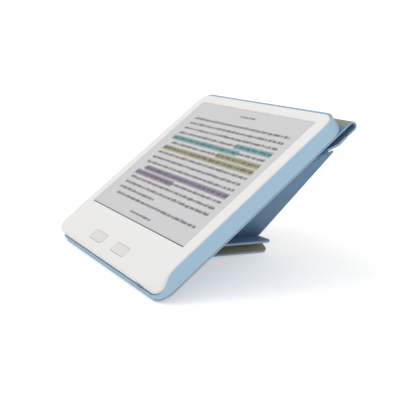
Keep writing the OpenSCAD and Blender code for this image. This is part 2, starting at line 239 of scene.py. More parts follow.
@dataclass(frozen=True)
class Finish:
    """One finish: its colour, gloss and fine relief, with the relief's grain in millimetres."""

    name: str
    slot: str
    colour: tuple[float, float, float]
    rough: float
    surface: Surface = Surface.SATIN
    grain: float = 0.3
    depth: float = 0.05
    tone: float = 0.04
    spread: float = 2.0
    metallic: float = 0.0
    coat: float = 0.0
    sheen: float = 0.0
    clear: float = 0.0
    specular: float = 0.5

    def material(self) -> bpy.types.Material:
        """Builds the finish's material once and returns it."""
        known = bpy.data.materials.get(self.name)
        if known:
            return known
        made = bpy.data.materials.new(self.name)
        made.use_nodes = True
        nodes, links = made.node_tree.nodes, made.node_tree.links
        shader = nodes["Principled BSDF"]
        shader.inputs["Metallic"].default_value = self.metallic
        shader.inputs["Coat Weight"].default_value = self.coat
        shader.inputs["Coat Roughness"].default_value = 0.2
        shader.inputs["Sheen Weight"].default_value = self.sheen
        shader.inputs["Sheen Roughness"].default_value = 0.5
        shader.inputs["Transmission Weight"].default_value = self.clear
        shader.inputs["Specular IOR Level"].default_value = self.specular

        where = nodes.new("ShaderNodeTexCoord")
        sized = nodes.new("ShaderNodeMapping")
        sized.inputs["Scale"].default_value = (1 / (self.grain * MM),) * 3
        links.new(where.outputs["Object"], sized.inputs["Vector"])
        relief = nodes.new("ShaderNodeGroup")
        relief.node_tree = relief_group(self.surface)
        relief.inputs["Spread"].default_value = self.spread
        links.new(sized.outputs[0], relief.inputs["Place"])

        shade = nodes.new("ShaderNodeMix")
        shade.data_type = "RGBA"
        low, high = 1 - self.tone, 1 + self.tone
        shade.inputs[6].default_value = (*(c * low for c in self.colour), 1)
        shade.inputs[7].default_value = (*(min(1.0, c * high) for c in self.colour), 1)
        links.new(relief.outputs["Tone"], shade.inputs["Factor"])
        links.new(shade.outputs[2], shader.inputs["Base Color"])

        gloss = nodes.new("ShaderNodeMapRange")
        gloss.inputs["To Min"].default_value = max(0.03, self.rough - 0.05)
        gloss.inputs["To Max"].default_value = min(1.0, self.rough + 0.05)
        links.new(relief.outputs["Tone"], gloss.inputs["Value"])
        links.new(gloss.outputs[0], shader.inputs["Roughness"])

        bump = nodes.new("ShaderNodeBump")
        bump.inputs["Strength"].default_value = self.depth
        bump.inputs["Distance"].default_value = self.grain * MM
        links.new(relief.outputs["Height"], bump.inputs["Height"])
        links.new(bump.outputs[0], shader.inputs["Normal"])
        return made


@dataclass(frozen=True)
class Finishes:
    """Every finish of the reader and its cover."""

    shell: Finish = Finish(
        "shell_white", "shell_white", (0.80, 0.785, 0.755), 0.42, grain=0.25, depth=0.03, tone=0.012)
    # the shell's own plastic, painted a little lighter to offset the shade that darkens the small keys
    key: Finish = Finish(
        "key_white_painted_lighter", "shell_white", (0.83, 0.815, 0.785), 0.42, grain=0.2, depth=0.02, tone=0.012)
    # near black: worn by the painted shade strip along the screen's chin side, and lent to the cutters before
    # they are deleted
    gap: Finish = Finish("seam_shadow", "seal_rubber", (0.06, 0.06, 0.065), 0.8, depth=0.1)
    page: Finish = Finish(
        "page_grey", "screen_paper", (0.70, 0.69, 0.705), 0.55, grain=0.12, depth=0.04, tone=0.015)
    ink: Finish = Finish(
        "page_ink", "screen_paper", (0.045, 0.045, 0.05), 0.6, grain=0.12, depth=0.04, tone=0.2)
    mark_teal: Finish = Finish("mark_teal", "screen_paper", (0.24, 0.44, 0.46), 0.6, grain=0.12, tone=0.05)
    mark_olive: Finish = Finish(
        "mark_olive", "screen_paper", (0.43, 0.41, 0.26), 0.6, grain=0.12, tone=0.05)
    mark_mauve: Finish = Finish(
        "mark_mauve", "screen_paper", (0.34, 0.29, 0.40), 0.6, grain=0.12, tone=0.05)
    tray: Finish = Finish(
        "tray_blue", "tray_blue", (0.15, 0.30, 0.52), 0.45, grain=0.22, depth=0.06, tone=0.03)
    skin: Finish = Finish(
        "cover_skin_blue", "cover_blue", (0.125, 0.245, 0.40), 0.55, Surface.PEBBLE, grain=0.55,
        depth=0.25, tone=0.05, sheen=0.1)
    edge: Finish = Finish(
        "cut_edge_blue", "cover_blue", (0.33, 0.44, 0.54), 0.6, Surface.FIBRE, grain=0.3, depth=0.15,
        tone=0.05)
    lining: Finish = Finish(
        "brushed_lining", "cover_lining", (0.31, 0.31, 0.25), 0.85, Surface.FIBRE, grain=0.35,
        depth=0.35, tone=0.12, sheen=0.3)
    felt: Finish = Finish(
        "grey_felt", "felt_grey", (0.16, 0.165, 0.17), 0.95, Surface.FIBRE, grain=0.5, depth=0.5,
        tone=0.2, sheen=0.4)
    rubber: Finish = Finish(
        "seal_rubber", "seal_rubber", (0.03, 0.03, 0.03), 0.7, grain=0.4, depth=0.1, tone=0.1)
    sheet_metal: Finish = Finish(
        "stamped_metal", "frame_metal", (0.55, 0.56, 0.58), 0.4, Surface.BRUSHED, grain=0.2, depth=0.08,
        tone=0.08, metallic=1.0)
    tin: Finish = Finish(
        "tinned_steel", "can_metal", (0.62, 0.62, 0.63), 0.3, Surface.BRUSHED, grain=0.25, depth=0.06,
        tone=0.08, metallic=1.0)
    magnet: Finish = Finish(
        "nickel", "magnet_metal", (0.70, 0.70, 0.70), 0.15, grain=0.4, depth=0.02, tone=0.04,
        metallic=1.0)
    board: Finish = Finish(
        "board_green", "board_green", (0.02, 0.12, 0.06), 0.35, grain=0.8, depth=0.06, tone=0.2,
        coat=0.4)
    flex: Finish = Finish(
        "amber_film", "flex_amber", (0.50, 0.22, 0.04), 0.25, grain=0.5, depth=0.03, tone=0.1, coat=0.5)
    cell: Finish = Finish(
        "cell_foil", "cell_grey", (0.10, 0.11, 0.12), 0.45, Surface.FIBRE, grain=0.8, depth=0.1,
        tone=0.15)
    film: Finish = Finish(
        "clear_film", "clear_layer", (0.95, 0.97, 1.0), 0.08, grain=1.0, depth=0.01, tone=0.01,
        clear=0.9)


FINISH = Finishes()

# CAD nodes that stay in view, or stay inside the reader, with the finish each gets
CARRIED_OVER: dict[str, Finish] = {
    "perimeter_seal": FINISH.rubber, "mid_frame": FINISH.sheet_metal, "epaper_panel": FINISH.page,
    "light_guide": FINISH.film, "light_strip": FINISH.flex, "display_cable": FINISH.flex,
    "battery": FINISH.cell, "main_board": FINISH.board, "shield_cans": FINISH.tin,
    "board_screws": FINISH.tin, "button_board": FINISH.board, "page_switches": FINISH.tin,
    "power_switch": FINISH.tin, "tray_felt": FINISH.felt, "tray_magnets": FINISH.magnet,
    "foot_magnets_right": FINISH.magnet, "foot_magnets_left": FINISH.magnet,
}


# ---------------------------------------------------------------- mesh tools


@dataclass(frozen=True)
class Ring:
    """A rounded rectangle at a height, in millimetres."""

    width: float
    depth: float
    radius: float
    height: float

    def grown(self, by: float, height: float) -> "Ring":
        """Returns the ring moved outwards all round, or inwards if by is below zero, at a height."""
        return Ring(self.width + 2 * by, self.depth + 2 * by, max(0.05, self.radius + by), height)


def rounded_over(ring: Ring, radius: float, top: float, steps: int = 5, down: bool = False) -> list[Ring]:
    """Returns rings that round an outer edge over.

    Args:
        ring: the full outline.
        radius: the rounding's radius.
        top: the height of the flat face that the rounding runs into.
        steps: the number of facets of the quarter circle.
        down: True if that face is below.

    Returns:
        The rings from the full outline to the flat face.
    """
    side = -1 if down else 1
    turns = [math.radians(90 * k / steps) for k in range(steps + 1)]
    return [ring.grown(-radius * (1 - math.cos(a)), top - side * radius * (1 - math.sin(a))) for a in turns]


def loft(rings: Sequence[Ring], centre: tuple[float, float] = (0, 0), steps: int = 12) -> bmesh.types.BMesh:
    """Joins rings into a closed shell, with its first and last ring filled.

    Args:
        rings: the outlines in order.
        centre: the middle of every outline.
        steps: the number of points in each corner.

    Returns:
        The new bmesh.
    """
    bm = bmesh.new()
    spoke = bm.verts.layers.float_vector.new("spoke")
    half_step = Matrix.Rotation(math.pi / (4 * steps), 4, "Z")
    verts = bmesh.ops.create_circle(bm, segments=4 * steps, radius=1, matrix=half_step)["verts"]
    for v in verts:
        v[spoke] = v.co
    loop, first = bm.edges[:], bm.edges[:]
    for index, ring in enumerate(rings):
        if index:
            made = bmesh.ops.extrude_edge_only(bm, edges=loop)["geom"]
            verts = [g for g in made if isinstance(g, bmesh.types.BMVert)]
            new = set(verts)
            loop = [e for e in {e for v in verts for e in v.link_edges} if set(e.verts) <= new]
        for v in verts:
            x, y, _ = v[spoke]
            v.co.x = centre[0] + math.copysign(ring.width / 2 - ring.radius, x) + ring.radius * x
            v.co.y = centre[1] + math.copysign(ring.depth / 2 - ring.radius, y) + ring.radius * y
            v.co.z = ring.height
    for end in (first, loop):
        bmesh.ops.contextual_create(bm, geom=end)
    bmesh.ops.recalc_face_normals(bm, faces=bm.faces)
    return bm


def hull_of(points: Iterable[Vector]) -> bmesh.types.BMesh:
    """Returns the convex solid round some points, with its flat faces whole."""
    bm = bmesh.new()
    for p in points:
        bm.verts.new(p)
    bmesh.ops.remove_doubles(bm, verts=bm.verts, dist=0.01)
    bmesh.ops.convex_hull(bm, input=bm.verts)
    bmesh.ops.delete(bm, geom=[v for v in bm.verts if not v.link_faces], context="VERTS")
    bmesh.ops.dissolve_limit(bm, angle_limit=math.radians(0.8), verts=bm.verts, edges=bm.edges)
    bmesh.ops.recalc_face_normals(bm, faces=bm.faces)
    return bm


def finished(name: str, bm: bmesh.types.BMesh, place: Place, finishes: Sequence[Finish],
             smooth_below: float = SHARP_TURN) -> bpy.types.Object:
    """Turns a bmesh in a local frame into an object at the origin.

    Args:
        name: the piece's name.
        bm: the mesh, in the place's millimetres. It is freed.
        place: the local frame.
        finishes: the material slots in order.
        smooth_below: edges that turn further than this, in degrees, stay sharp.

    Returns:
        The new object.
    """
    bm.transform(place.matrix)
    bm.normal_update()
    for face in bm.faces:
        face.smooth = True
    for e in bm.edges:
        e.smooth = e.calc_face_angle(math.pi) < math.radians(smooth_below)
    mesh = bpy.data.meshes.new(name)
    bm.to_mesh(mesh)
    bm.free()
    piece = bpy.data.objects.new(name, mesh)
    bpy.context.scene.collection.objects.link(piece)
    for finish in finishes:
        mesh.materials.append(finish.material())
    return piece


def carve(piece: bpy.types.Object, cutters: Sequence[bpy.types.Object]) -> None:
    """Cuts solids out of a piece and deletes them.

    Args:
        piece: the piece, whose mesh is replaced.
        cutters: closed solids, none of which is kept.

    Raises:
        ValueError: if nothing of the piece is left.
    """
    for cutter in cutters:
        cut = piece.modifiers.new("cut", "BOOLEAN")
        cut.operation, cut.solver, cut.object = "DIFFERENCE", "EXACT", cutter
    graph = bpy.context.evaluated_depsgraph_get()
    graph.update()
    mesh = bpy.data.meshes.new_from_object(piece.evaluated_get(graph))
    piece.modifiers.clear()
    if not mesh.polygons:
        raise ValueError(f"cutting {piece.name} left nothing")
    piece.data = mesh
    for cutter in cutters:
        bpy.data.objects.remove(cutter)
    bm = bmesh.new()
    bm.from_mesh(mesh)
    for e in bm.edges:
        e.smooth = e.calc_face_angle(math.pi) < math.radians(SHARP_TURN)
    bm.to_mesh(mesh)
    bm.free()


def even_shading(piece: bpy.types.Object) -> None:
    """Keeps large flat faces flat beside their rounded edges."""
    even = piece.modifiers.new("even_shading", "WEIGHTED_NORMAL")
    even.weight, even.keep_sharp = 90, True


def hand_over(piece: bpy.types.Object, body: str, finish: Finish, *nodes: str) -> bpy.types.Object:
    """Rides a piece on a body and lets it stand for CAD nodes.

    Args:
        piece: the finished piece.
        body: the CAD body that it moves with.
        finish: not used.
        nodes: the CAD nodes that it replaces.

    Returns:
        The piece.
    """
    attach(piece, body)
    if nodes:
        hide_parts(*nodes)
    log.info("%s rides on %s", piece.name, body)
    return piece


# ---------------------------------------------------------------- the reader


@dataclass
class ReaderShell:
    """The white shell: a face frame with a sunken screen, and a rear cover."""

    place: Place
    edge_radius: float = 1.8
    corner_radius: float = 9.0
    wall: float = 1.5
    screen_lap: float = 2.0
    seam_bevel: float = 0.15
    port_clear: float = 0.15
    key_clear: float = 0.22
    key_radius: float = 1.7
    key_flange: float = 1.0
    cut_depth: float = 3.0
    screen_corner: float = 0.8
    screen_lip: float = 0.25
    low: Vector = field(init=False)
    high: Vector = field(init=False)

    def __post_init__(self) -> None:
        """Reads the shell's size from the frame."""
        self.low, self.high = self.place.box("front_bezel", "rear_cover")

    @property
    def centre(self) -> tuple[float, float]:
        """The middle of the face."""
        return (0.0, (self.low.y + self.high.y) / 2)

    @property
    def outline(self) -> Ring:
        """The reader's outline."""
        return Ring(self.high.x - self.low.x, self.high.y - self.low.y, self.corner_radius, 0.0)

    def screen(self) -> tuple[Ring, tuple[float, float]]:
        """Returns the visible screen's outline at the film's height, and its middle."""
        low, high = self.place.box("touch_film")
        lap = 2 * self.screen_lap
        ring = Ring(high.x - low.x - lap, high.y - low.y - lap, self.screen_corner, high.z)
        return ring, (0.0, (low.y + high.y) / 2)

    def key_window(self, node: str) -> bpy.types.Object:
        """Returns the solid that cuts a page key's window."""
        low, high = self.place.box(node)
        flange = 2 * self.key_flange
        ring = Ring(high.x - low.x - flange, high.y - low.y - flange, self.key_radius, 0)
        ring = ring.grown(self.key_clear, -self.cut_depth)
        middle = ((low.x + high.x) / 2, (low.y + high.y) / 2)
        shape = loft([ring, ring.grown(0, self.cut_depth)], middle)
        return finished("key_cutter", shape, self.place, [FINISH.gap])

    def port_window(self) -> bpy.types.Object:
        """Returns the solid that cuts the charging port's slot."""
        low, high = self.place.box("charging_port")
        height = high.z - low.z + 2 * self.port_clear
        ring = Ring(high.x - low.x + 2 * self.port_clear, height, height / 2 - 0.01, -self.cut_depth)
        at = self.place.moved(((low.x + high.x) / 2, 0, (low.z + high.z) / 2),
                              Matrix.Rotation(-math.pi / 2, 4, "X"))
        return finished("port_cutter", loft([ring, ring.grown(0, 4 * self.wall)]), at, [FINISH.gap])

    def build_face(self) -> bpy.types.Object:
        """Builds the face frame with its screen opening, key windows and port slot, and returns it."""
        floor = self.place.box("front_bezel")[0].z
        outer = self.outline
        screen, middle = self.screen()
        rim = rounded_over(outer, self.edge_radius, 0.0, steps=7)
        inner = outer.grown(-self.wall, screen.height)
        rings = [inner, inner.grown(0, floor), outer.grown(-self.seam_bevel, floor),
                 outer.grown(0, floor + self.seam_bevel), *rim]
        face = finished("face_frame", loft(rings, self.centre), self.place, [FINISH.shell])
        lip = self.screen_lip
        opening = [screen.grown(0, -self.cut_depth), screen.grown(0, -lip), screen.grown(lip, 0.02),
                   screen.grown(lip, 2.0)]
        window = finished("screen_cutter", loft(opening, middle), self.place, [FINISH.gap])
        keys = [self.key_window(n) for n in ("page_button_left", "page_button_right")]
        carve(face, [window, *keys, self.port_window()])
        even_shading(face)
        return hand_over(face, "reader", FINISH.shell, "front_bezel")

    def build_back(self) -> bpy.types.Object:
        """Builds the rear cover with the power key's hole and the port slot, and returns it."""
        low, high = self.place.box("rear_cover")
        outer = self.outline
        inner = outer.grown(-self.wall, high.z)
        floor = self.place.box("power_button")[1].z - 0.5 - 0.1
        turned = rounded_over(outer, self.edge_radius, low.z, steps=7, down=True)
        rings = [inner.grown(0, floor), inner, outer.grown(-self.seam_bevel, high.z),
                 outer.grown(0, high.z - self.seam_bevel), *turned]
        back = finished("rear_shell", loft(rings, self.centre), self.place, [FINISH.shell])
        key_low, key_high = self.place.box("power_button")
        span = key_high.x - key_low.x - 2 + 2 * self.key_clear
        hole = Ring(span, span, span / 2 - 0.01, low.z - 1)
        middle = ((key_low.x + key_high.x) / 2, (key_low.y + key_high.y) / 2)
        shape = loft([hole, hole.grown(0, floor + 1)], middle)
        cutter = finished("power_cutter", shape, self.place, [FINISH.gap])
        carve(back, [cutter, self.port_window()])
        even_shading(back)
        return hand_over(back, "reader", FINISH.shell, "rear_cover")

    def build(self) -> None:
        """Builds both halves of the shell."""
        self.build_face()
        self.build_back()


@dataclass
class Keys:
    """The two page keys beside the screen and the power key on the back."""

    place: Place
    flange: float = 1.0
    round_top: float = 0.5
    radius: float = 1.6
    dish: float = 0.05
    seat: float = -1.1
    seat_thickness: float = 0.7
    plate: float = 0.5

    def build_page_key(self, node: str, body: str) -> bpy.types.Object:
        """Builds a page key, a rounded bar with a dished top.

        Args:
            node: the CAD node that it replaces.
            body: the body that it moves with.

        Returns:
            The piece.
        """
        low, high = self.place.box(node)
        pad = Ring(high.x - low.x - 2 * self.flange, high.y - low.y - 2 * self.flange, self.radius, 0)
        base = self.seat
        rings = [pad.grown(self.flange, base - self.seat_thickness), pad.grown(self.flange, base),
                 pad.grown(0, base), *rounded_over(pad, self.round_top, high.z),
                 pad.grown(-self.round_top - 0.5, high.z),
                 pad.grown(-self.round_top - 1.3, high.z - self.dish)]
        bm = loft(rings, ((low.x + high.x) / 2, (low.y + high.y) / 2), steps=8)
        key = finished(node.replace("button", "key"), bm, self.place, [FINISH.key], smooth_below=50)
        even_shading(key)
        return hand_over(key, body, FINISH.key, node)

    def build_power_key(self) -> bpy.types.Object:
        """Builds the round power key and returns it."""
        low, high = self.place.box("power_button")
        span = high.x - low.x - 2 * self.flange
        disc = Ring(span, span, span / 2 - 0.01, 0)
        wide = disc.grown(self.flange, high.z)
        rings = [wide, wide.grown(0, high.z - self.plate), disc.grown(0, high.z - self.plate),
                 *rounded_over(disc, 0.35, low.z, down=True),
                 disc.grown(-1.2, low.z), disc.grown(-2.4, low.z + 0.2)]
        bm = loft(rings, ((low.x + high.x) / 2, (low.y + high.y) / 2), steps=8)
        key = finished("power_key", bm, self.place, [FINISH.key], smooth_below=50)
        even_shading(key)
        return hand_over(key, "power_key", FINISH.key, "power_button")

    def build(self) -> None:
        """Builds the three keys."""
        self.build_page_key("page_button_left", "left_page_key")
        self.build_page_key("page_button_right", "right_page_key")
        self.build_power_key()


@dataclass
class ChargingPort:
    """The metal shell of the charging port, and the tongue inside it."""

    place: Place
    wall: float = 0.4
    tongue: tuple[float, float] = (6.6, 0.7)

    def build(self) -> None:
        """Builds the port's shell and its tongue."""
        low, high = self.place.box("charging_port")
        deep = high.y - low.y
        at = self.place.moved(((low.x + high.x) / 2, low.y, (low.z + high.z) / 2),
                              Matrix.Rotation(-math.pi / 2, 4, "X"))
        tall = high.z - low.z
        tube = Ring(high.x - low.x, tall, tall / 2 - 0.01, 0)
        hollow = tube.grown(-self.wall, 0)
        rings = [hollow.grown(0, deep - 1), hollow.grown(0, 0.15), hollow.grown(0.15, 0), tube.grown(-0.1, 0),
                 tube.grown(0, 0.1), tube.grown(0, deep)]
        shell = finished("port_shell", loft(rings, steps=8), at, [FINISH.tin], smooth_below=50)
        hand_over(shell, "reader", FINISH.tin, "charging_port")
        blade = Ring(self.tongue[0], self.tongue[1], 0.3, 1.0)
        blade_shape = loft([blade, blade.grown(0, deep - 1)], steps=4)
        tongue = finished("port_tongue", blade_shape, at, [FINISH.rubber])
        hand_over(tongue, "reader", FINISH.rubber)


@dataclass(frozen=True)
class Marked:
    """A run of one line of the page under a marker."""

    line: int
    start: float
    end: float
    finish: Finish


@dataclass
class Page:
    """The lit page behind the face: lines of plain strokes, some of them under a marker."""

    shell: ReaderShell
    first_line: float = 121.2
    pitch: float = 5.16
    line_count: int = 16
    left: float = -59.5
    right: float = 62.0
    stroke: float = 0.36
    stroke_pitch: float = 0.66
    lift: float = 0.012
    word_gap: float = 1.15
    short_stroke: float = 1.75
    small_stroke: float = 1.35
    indent: float = 4.5
    indented: tuple[int, ...] = (5, 10, 15)
    joiner: float = 0.3
    seed: int = 7

    def build_film(self) -> bpy.types.Object:
        """Builds the page's film, just clear of the screen opening's wall, and returns it."""
        place = self.shell.place
        low, high = place.box("touch_film")
        film = Ring(high.x - low.x, high.y - low.y, 1.0, low.z)
        rings = [film, film.grown(0, high.z - 0.06), film.grown(-0.06, high.z - 0.01)]
        piece = finished("page_film", loft(rings, (0, (low.y + high.y) / 2), steps=4), place, [FINISH.page])
        even_shading(piece)
        return hand_over(piece, "reader", FINISH.page, "touch_film")

    def add_stroke(self, bm: bmesh.types.BMesh, x: float, y: float, size: tuple[float, float],
                   layer: float) -> None:
        """Adds a flat stroke of a size, in the middle at x and y, a layer above the film."""
        ring, _ = self.shell.screen()
        z = ring.height + layer
        shape = Matrix.Translation((x, y, z)) @ Matrix.Diagonal((size[0], size[1], self.lift, 1))
        bmesh.ops.create_cube(bm, size=1, matrix=shape)

    def add_line(self, bm: bmesh.types.BMesh, rng: random.Random, start: float, end: float, y: float,
                 tall: float) -> None:
        """Adds a line of word-like groups of strokes.

        Args:
            bm: the mesh that gets the strokes.
            rng: the seeded source of word lengths and stroke heights.
            start: where the line starts.
            end: where the line ends.
            y: the middle of the line.
            tall: the height of a short stroke.
        """
        x = start
        while x < end - 1.0:
            for _ in range(rng.choice((3, 4, 6, 7, 9, 11, 13))):
                if x > end - self.stroke:
                    break
                kind = rng.random()
                height = tall * (1.45 if kind < 0.18 else 1.0)
                shift = tall * (0.22 if kind < 0.13 else -0.22 if kind < 0.18 else 0.0)
                self.add_stroke(bm, x + self.stroke / 2, y + shift, (self.stroke, height), self.lift)
                if rng.random() < 0.55:
                    cap = rng.choice((-0.42, 0.0, 0.42)) * tall
                    bar = (self.stroke_pitch, self.joiner)
                    self.add_stroke(bm, x + self.stroke_pitch / 2, y + cap, bar, self.lift)
                x += self.stroke_pitch
            x += self.word_gap

    def line_at(self, index: int) -> float:
        """Returns the height of a line on the face."""
        return self.first_line - self.pitch * index

    def build_lines(self) -> bpy.types.Object:
        """Builds every line of strokes as one piece and returns it."""
        rng = random.Random(self.seed)
        bm = bmesh.new()
        for index in range(self.line_count):
            start = self.left + (self.indent if index in self.indented else 0.0)
            end = -4.0 if index == 14 else self.right
            self.add_line(bm, rng, start, end, self.line_at(index), self.short_stroke)
        self.add_line(bm, rng, -8.4, 9.8, 130.2, self.small_stroke)
        self.add_line(bm, rng, -16.0, 15.0, 35.3, self.small_stroke)
        bmesh.ops.recalc_face_normals(bm, faces=bm.faces)
        piece = finished("page_lines", bm, self.shell.place, [FINISH.ink])
        return hand_over(piece, "reader", FINISH.ink)

    def build_marks(self) -> None:
        """Builds the marker bands, a piece for each colour."""
        bands = (
            Marked(3, 18.8, self.right, FINISH.mark_teal),
            Marked(4, self.left - 2.5, 29.8, FINISH.mark_teal),
            Marked(5, 10.1, self.right, FINISH.mark_olive),
            Marked(6, self.left, self.right, FINISH.mark_olive),
            Marked(10, -53.0, self.right, FINISH.mark_mauve),
            Marked(11, self.left - 1, -2.5, FINISH.mark_mauve),
        )
        for finish in (FINISH.mark_teal, FINISH.mark_olive, FINISH.mark_mauve):
            bm = bmesh.new()
            for band in (b for b in bands if b.finish is finish):
                size = (band.end - band.start, self.pitch * 0.86)
                self.add_stroke(bm, (band.start + band.end) / 2, self.line_at(band.line), size, 0.0)
            hand_over(finished(finish.name, bm, self.shell.place, [finish]), "reader", finish)

    def build_painted_shade_strip(self) -> None:
        """Builds a dark strip of painted shade on the film along the chin's side of the opening, where the
        opening's lip shades the page.
        """
        ring, middle = self.shell.screen()
        bm = bmesh.new()
        # painted shade: a near-black strip on the film just inside the chin's side of the opening
        self.add_stroke(bm, 0, middle[1] - ring.depth / 2 + 0.55, (ring.width - 0.3, 0.75), 0.0)
        hand_over(finished("screen_painted_shade", bm, self.shell.place, [FINISH.gap]), "reader", FINISH.gap)

    def build(self) -> None:
        """Builds the film, the lines, the marks and the painted shade strip."""
        self.build_film()
        self.build_lines()
        self.build_marks()
        self.build_painted_shade_strip()


# ---------------------------------------------------------------- the tray


@dataclass
class Tray:
    """The moulded tray that clips round the reader, with its walls swept down at the chin."""

    place: Place
    wall: float = 1.2
    corner_radius: float = 10.5
    rim_round: float = 0.45
    foot_round: float = 0.35
    sweep_start: float = 1.5
    sweep_run: float = 15.0
    chin_drop: float = 6.9
    rim_drop: float = 0.9
    softening: float = 0.12
    sweep_cuts: int = 14

    def rim_height(self, y: float) -> float:
        """Returns the rim's height above its top along the walls: low at the chin, then an S up."""
        a = min(1.0, max(0.0, (y - self.sweep_start) / self.sweep_run))
        return -self.chin_drop + (self.chin_drop - self.rim_drop) * a * a * (3 - 2 * a)

    def build(self) -> bpy.types.Object:
        """Builds the tray with the hole over the power key, and returns it."""
        low, high = self.place.box("tray_shell")
        middle = (0.0, (low.y + high.y) / 2)
        outer = Ring(high.x - low.x, high.y - low.y, self.corner_radius, 0)
        inner = outer.grown(-self.wall, 0)
        floor = self.place.box("tray_magnets")[1].z
        base = self.foot_round + low.z
        soft, foot = self.softening, self.foot_round * 0.3
        rings = [inner.grown(0, floor), inner.grown(0, -self.rim_round), inner.grown(soft, -soft),
                 inner.grown(self.rim_round, 0), outer.grown(-self.rim_round, 0), outer.grown(-soft, -soft),
                 outer.grown(0, -self.rim_round), outer.grown(0, base), outer.grown(-foot, low.z + foot),
                 outer.grown(-self.foot_round, low.z)]
        bm = loft(rings, middle, steps=14)
        for k in range(1, self.sweep_cuts + 1):
            y = self.sweep_start + self.sweep_run * k / 12
            bmesh.ops.bisect_plane(bm, geom=bm.verts[:] + bm.edges[:] + bm.faces[:], plane_co=(0, y, 0),
                                   plane_no=(0, 1, 0))
        for v in bm.verts:
            if v.co.z > -2:
                v.co.z += self.rim_height(v.co.y)
        tray = finished("tray_clip", bm, self.place, [FINISH.tray])
        carve(tray, [power_cutter(self.place)])
        even_shading(tray)
        return hand_over(tray, "tray", FINISH.tray, "tray_shell")


def power_cutter(place: Place) -> bpy.types.Object:
    """Returns the solid that cuts the round hole over the power key through the tray and its skin."""
    key_low, key_high = place.box("power_button")
    floor = place.box("back_skin")[0].z
    reach = 12.0
    hole = Ring(reach, reach, reach / 2 - 0.01, floor - 1)
    middle = ((key_low.x + key_high.x) / 2, (key_low.y + key_high.y) / 2)
    bm = loft([hole, hole.grown(0, floor + 4)], middle)
    return finished("power_hole_cutter", bm, place, [FINISH.gap])


# ---------------------------------------------------------------- the cover


@dataclass
class Panel:
    """A stiff panel of the cover: skin on one side, lining on the other, and a cut edge between."""

    name: str
    body: str
    place: Place
    nodes: tuple[str, ...]
    corner: float = 0.6
    soft: float = 0.3

    def build(self) -> bpy.types.Object:
        """Builds the panel round its CAD nodes and returns it."""
        bm = hull_of(self.place.points(*self.nodes))
        upright = [e for e in bm.edges if abs((e.verts[0].co - e.verts[1].co).normalized().z) > 0.9
                   and e.calc_face_angle(0) > math.radians(15)]
        bmesh.ops.bevel(bm, geom=upright, offset=self.corner, segments=4, profile=0.5, affect="EDGES",
                        material=-1)
        bm.normal_update()
        for face in bm.faces:
            face.material_index = 0 if face.normal.z < -0.5 else 1 if face.normal.z > 0.5 else 2
        rim = [e for e in bm.edges if len({abs(f.normal.z) > 0.5 for f in e.link_faces}) == 2]
        bmesh.ops.bevel(bm, geom=rim, offset=self.soft, segments=3, profile=0.5, affect="EDGES", material=-1)
        piece = finished(self.name, bm, self.place, [FINISH.skin, FINISH.lining, FINISH.edge])
        even_shading(piece)
        return hand_over(piece, self.body, FINISH.skin, *self.nodes)


class BentStrip:
    """A strip of the cover's skin, drawn as a cross-section that runs straight or bends."""

    def __init__(self, width: float, thickness: float, start: Vector, ahead: Vector, up: Vector) -> None:
        """Starts the strip.

        Args:
            width: the strip's width across its run.
            thickness: the strip's thickness.
            start: the middle of its first edge.
            ahead: the unit direction of its run.
            up: the unit direction of its lining side.
        """
        self.bm = bmesh.new()
        self.at, self.ahead, self.up = start.copy(), ahead.copy(), up.copy()
        self.across = ahead.cross(up)
        self.side = self.bm.verts.layers.int.new("side")
        corners = [self.bm.verts.new(start + self.across * a * width / 2 + up * b * thickness / 2)
                   for a, b in ((-1, -1), (1, -1), (1, 1), (-1, 1))]
        for v in corners[2:]:
            v[self.side] = 1
        self.end: list = [self.bm.faces.new(corners)]
        self.end += list(self.end[0].edges) + corners

    def _sweep(self, centre: Vector, turn: float, push: Vector, steps: int) -> None:
        """Sweeps the end of the strip on by a turn or a push, in steps."""
        made = bmesh.ops.spin(self.bm, geom=self.end, cent=centre, axis=self.across, angle=turn, dvec=push,
                              steps=steps, use_duplicate=False)
        self.end = made["geom_last"]

    def straight(self, length: float, steps: int = 2) -> "BentStrip":
        """Runs the strip straight on by a length and returns it."""
        self._sweep(self.at, 0.0, self.ahead * (length / steps), steps)
        self.at += self.ahead * length
        return self

    def bend(self, turn: float, radius: float, steps: int = 8) -> "BentStrip":
        """Bends the strip towards its lining side, or away from it if the turn is below zero.

        Args:
            turn: the turn in radians.
            radius: the radius at the middle of the strip.
            steps: the number of facets.

        Returns:
            The strip.
        """
        side = math.copysign(1.0, turn)
        centre = self.at + self.up * radius * side
        self._sweep(centre, turn, Vector(), steps)
        about = Matrix.Rotation(turn, 3, self.across)
        self.at = centre + about @ (self.at - centre)
        self.ahead, self.up = about @ self.ahead, about @ self.up
        return self

    def piece(self, name: str, place: Place, soft: float = 0.2) -> bpy.types.Object:
        """Closes the strip, softens its long edges and returns it as a piece."""
        bm, side = self.bm, self.side
        bmesh.ops.recalc_face_normals(bm, faces=bm.faces)
        for face in bm.faces:
            kinds = {v[side] for v in face.verts}
            face.material_index = 2 if len(kinds) == 2 else (1 if kinds == {1} else 0)
        rim = [e for e in bm.edges if len(e.link_faces) == 2 and e.calc_face_angle(0) > math.radians(70)]
        bmesh.ops.bevel(bm, geom=rim, offset=soft, segments=2, profile=0.5, affect="EDGES", material=-1)
        return finished(name, bm, place, [FINISH.skin, FINISH.lining, FINISH.edge], smooth_below=40)


